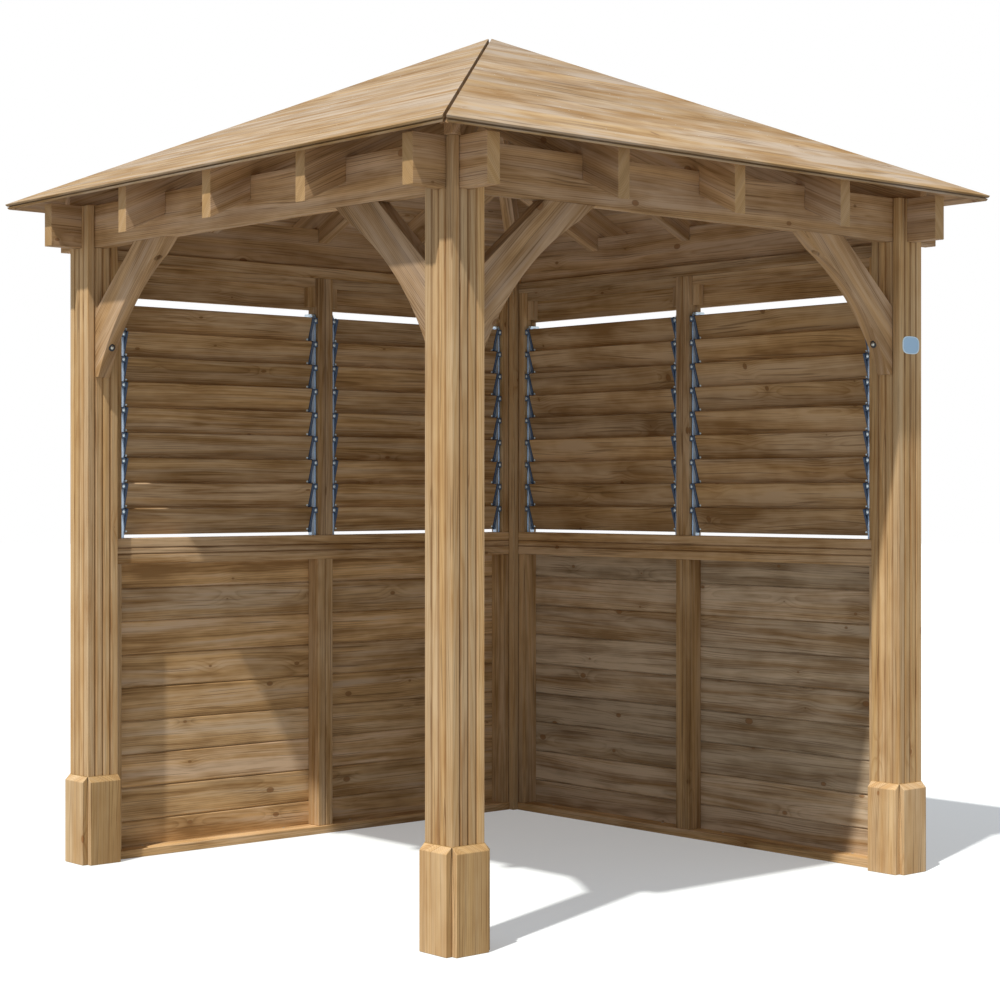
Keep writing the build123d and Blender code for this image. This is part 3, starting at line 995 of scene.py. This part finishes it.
class GazeboLouvres(bpy.types.Operator):
    """Dress the louvre slats and detail their channels, clips, pivots and pins"""

    bl_idname = "gazebo.louvres"
    bl_label = "Louvres"

    def execute(self, context):
        sizes = context.scene.gazebo_sizes
        for side in WALLS:
            dress(f"{side}_louvres", "wall_wood", sizes.slat_arris, segments=3, heart=0.06)
            self.channels(side)
            self.clips(side, sizes)
        return {"FINISHED"}

    @staticmethod
    def bay_ends(side):
        """Edges of the bays between the stiles, and the direction into each bay."""
        outer = wall_lines(side)[0] - STILE_HALF
        return ((-outer, 1), (-STILE_HALF, -1), (STILE_HALF, 1), (outer, -1))

    def channels(self, side):
        """A folded strip with a near-black step by the stile, painted shade of the gap there, and
        a pale cap at its top.
        """
        face, back = wall_lines(side)[1:]
        low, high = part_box(f"{side}_channels")
        section = (
            (0.0, 0.015),
            (0.003, 0.015),
            (0.0034, 0.0172),
            (0.0164, 0.0172),
            (0.0167, 0.0158),
            (CHANNEL_WIDTH, 0.0158),
            (CHANNEL_WIDTH, 0.035),
            (0.0, 0.035),
        )
        parts = []
        for end, toward in self.bay_ends(side):
            plan = [wall_point(side, end + toward * s, face + d) for s, d in section]
            strip = prism(plan, UP * low.z, UP * (high.z - 0.008))
            for part in strip.faces:
                place = part.calc_center_median()
                beside = wall_point(side, 1, 0).dot(place) - end
                # The step's faces by the stile get the painted shade
                if abs(beside) < 0.0033 and part.normal.dot(wall_point(side, 0, -1)) > 0.3:
                    part.material_index = 1
            parts.append(strip)
            cap = wall_block(
                side,
                sorted((end + toward * 0.0003, end + toward * (CHANNEL_WIDTH - 0.0003))),
                (face + 0.0192, back - 0.0002),
                (high.z - 0.0078, high.z),
                0.0015,
                2,
            )
            parts.append(cap)
        add_piece(
            f"{side}_channels_detailed",
            joined(parts),
            ["channel_metal", "channel_lip", "cap_plastic"],
            "channel_metal",
            f"{side}_channels",
        )

    def clips(self, side, sizes):
        """Leaning clip bars with a pivot block on the channel and a pin in each slat."""
        face = wall_lines(side)[1]
        node = f"{side}_clips"
        bars = soften(welded(node), 0.002, 2)
        cosine, sine = math.cos(SLAT_LEAN), math.sin(SLAT_LEAN)
        reach = CLIP_LENGTH * cosine / 2
        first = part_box(node)[0].z + (CLIP_LENGTH * cosine + CLIP_WIDTH * sine) / 2
        inward = wall_point(side, 0, -1)
        toward_room = inward * cosine - UP * sine
        up_slat = UP * cosine + inward * sine
        pin = headed(sizes.pin_head, (1, -0.001), (1, 0.0012), (0.8, 0.0024), (0.35, 0.003))
        hub = ((0.0052, 0.0), (0.0052, 0.0009), (0.0042, 0.0016), (0.002, 0.0017))
        parts = [bars]
        for end, toward in self.bay_ends(side):
            for k in range(SLATS):
                middle = first + SLAT_PITCH * k
                crown = middle + reach
                parts.append(
                    wall_block(
                        side,
                        sorted((end + toward * 0.0006, end + toward * 0.0185)),
                        (face + 0.0035, face + 0.0165),
                        (crown - 0.0215, crown - 0.0005),
                        0.0022,
                        2,
                    )
                )
                spot = wall_point(side, end + toward * 0.0095, face + 0.0036, crown - 0.011)
                parts.append(turned(hub, spot, inward, 16, 1))
                spot = wall_point(side, end + toward * 0.032, face + 0.02, middle)
                spot += toward_room * 0.0045 - up_slat * 0.034
                parts.append(turned(pin, spot, toward_room, 14, 1))
        add_piece(
            f"{side}_clips_detailed",
            joined(parts),
            ["clip_plastic", "cap_plastic", "pivot_plastic"],
            "clip_plastic",
            node,
        )


class GazeboPlate(bpy.types.Operator):
    """Fix a small bare plate to the right post"""

    bl_idname = "gazebo.plate"
    bl_label = "Plate"

    def execute(self, context):
        sizes = context.scene.gazebo_sizes
        low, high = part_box("post_front_right")
        centre = Vector(((low.x + high.x) / 2 + 0.002, low.y, PLATE_LEVEL))
        half_width = sizes.plate_width / 2
        half_height = sizes.plate_height / 2
        steps = 40
        squareness = 0.62
        rings = (
            (1.0, 0.0004, 1),
            (1.0, -0.0006, 1),
            (0.985, -0.0012, 1),
            (0.9, -0.0013, 1),
            (0.87, -0.0007, 0),
            (0.5, -0.0006, 0),
        )
        bm = bmesh.new()
        loops = []
        for factor, proud, _ in rings:
            loop = []
            for k in range(steps):
                angle = 2 * math.pi * k / steps
                cosine, sine = math.cos(angle), math.sin(angle)
                x = math.copysign(abs(cosine) ** squareness, cosine) * half_width * factor
                z = math.copysign(abs(sine) ** squareness, sine) * half_height * factor
                loop.append(bm.verts.new(centre + Vector((x, proud, z))))
            loops.append(loop)
        for outer, inner, (_, _, index) in zip(loops, loops[1:], rings[1:]):
            for k in range(steps):
                part = bm.faces.new((outer[k - 1], outer[k], inner[k], inner[k - 1]))
                part.material_index = index
        bm.faces.new(loops[-1])
        back = bm.faces.new(loops[0])
        back.material_index = 1
        bmesh.ops.recalc_face_normals(bm, faces=bm.faces)
        add_piece("bare_plate", bm, ["plate_enamel", "plate_rim"], "clip_plastic")
        return {"FINISHED"}


class GazeboSetting(bpy.types.Operator):
    """Lay the floor and set the light and the camera"""

    bl_idname = "gazebo.setting"
    bl_label = "Stage"

    def execute(self, context):
        stage = context.scene.gazebo_stage
        self.floor(stage)
        self.light(stage)
        self.camera(stage)
        settings = context.scene.view_settings
        settings.view_transform = "Standard"
        return {"FINISHED"}

    @staticmethod
    def seen(finish):
        """1 for rays from the camera, a mirror or glass, 0 for the rest."""
        path = finish.node("ShaderNodeLightPath", output="Is Camera Ray")
        glossy = path.output("Is Glossy Ray")
        through = path.output("Is Transmission Ray")
        return (path + glossy + through).clamped()

    def floor(self, stage):
        """A round floor that shows white where it is lit and keeps the shadow."""
        bm = bmesh.new()
        bmesh.ops.create_circle(bm, cap_ends=True, segments=96, radius=45.0)
        mesh = bpy.data.meshes.new("floor")
        bm.to_mesh(mesh)
        bm.free()
        finish = Finish(bpy.data.materials.new("floor_paper"))
        plain = finish.node("ShaderNodeBsdfDiffuse", {}, {"Color": (0.87, 0.94, 0.98, 1.0)})
        white = finish.node("ShaderNodeEmission", {}, {"Color": (1, 1, 1, 1), "Strength": 1.0})
        shown = finish.node("ShaderNodeMixShader", {}, {0: stage.floor_lift, 1: plain, 2: white})
        bounce = finish.node("ShaderNodeBsdfDiffuse", {}, {"Color": (0.42, 0.42, 0.42, 1.0)})
        finish.surface(
            finish.node("ShaderNodeMixShader", {}, {0: self.seen(finish), 1: bounce, 2: shown})
        )
        mesh.materials.append(finish.owner)
        floor = bpy.data.objects.new("floor", mesh)
        bpy.context.scene.collection.objects.link(floor)

    def light(self, stage):
        """A sun from the left and above, and an even sky."""
        lamp = bpy.data.lights.new("sun", "SUN")
        lamp.energy = stage.sun_power
        lamp.angle = stage.sun_angle
        lamp.color = (1.0, 0.95, 0.87)
        sun = bpy.data.objects.new("sun", lamp)
        sun.rotation_euler = Vector(SUN_TRAVEL).to_track_quat("-Z", "Y").to_euler()
        bpy.context.scene.collection.objects.link(sun)
        world = bpy.data.worlds.new("sky")
        finish = Finish(world)
        dim = (stage.sky * 0.98, stage.sky, stage.sky * 1.05, 1.0)
        sky = finish.node("ShaderNodeBackground", {}, {"Color": dim, "Strength": 1.0})
        white = finish.node("ShaderNodeBackground", {}, {"Color": (1, 1, 1, 1), "Strength": 1.0})
        finish.surface(
            finish.node("ShaderNodeMixShader", {}, {0: self.seen(finish), 1: sky, 2: white})
        )
        bpy.context.scene.world = world

    @staticmethod
    def camera(stage):
        """The photograph's point of view."""
        lens = bpy.data.cameras.new("camera")
        lens.sensor_width = 36.0
        lens.lens = stage.focal_length
        lens.shift_x = -0.00018
        lens.shift_y = -0.00869
        lens.clip_end = 200.0
        camera = bpy.data.objects.new("camera", lens)
        camera.location = (-4.6883, -5.4166, 1.2407)
        camera.rotation_euler = (math.radians(90), 0.0, math.radians(-41.143))
        bpy.context.scene.collection.objects.link(camera)
        bpy.context.scene.camera = camera


OPERATORS = (
    GazeboPosts,
    GazeboBeams,
    GazeboRafters,
    GazeboRoof,
    GazeboWalls,
    GazeboLouvres,
    GazeboPlate,
    GazeboSetting,
)
SETTINGS = {
    "gazebo_sizes": GazeboSizes,
    "gazebo_finish": GazeboFinish,
    "gazebo_stage": GazeboStage,
}


class GazeboPanel(bpy.types.Panel):
    """Steps and settings of the gazebo"""

    bl_idname = "VIEW3D_PT_gazebo"
    bl_label = "Gazebo"
    bl_space_type = "VIEW_3D"
    bl_region_type = "UI"
    bl_category = "Gazebo"

    def draw(self, context):
        for operator in OPERATORS:
            self.layout.operator(operator.bl_idname)
        for group, kind in SETTINGS.items():
            box = self.layout.box()
            for field in kind.__annotations__:
                box.prop(getattr(context.scene, group), field)


def register():
    """Register the settings, the steps and the panel."""
    for kind in (*SETTINGS.values(), *OPERATORS, GazeboPanel):
        bpy.utils.register_class(kind)
    for group, kind in SETTINGS.items():
        setattr(bpy.types.Scene, group, PointerProperty(type=kind))


def unregister():
    """Take them out again."""
    for group in SETTINGS:
        delattr(bpy.types.Scene, group)
    for kind in reversed((*SETTINGS.values(), *OPERATORS, GazeboPanel)):
        bpy.utils.unregister_class(kind)


def main():
    """Build every piece and the stage."""
    register()
    for operator in OPERATORS:
        group, step = operator.bl_idname.split(".")
        getattr(getattr(bpy.ops, group), step)()


if __name__ == "__main__":
    main()
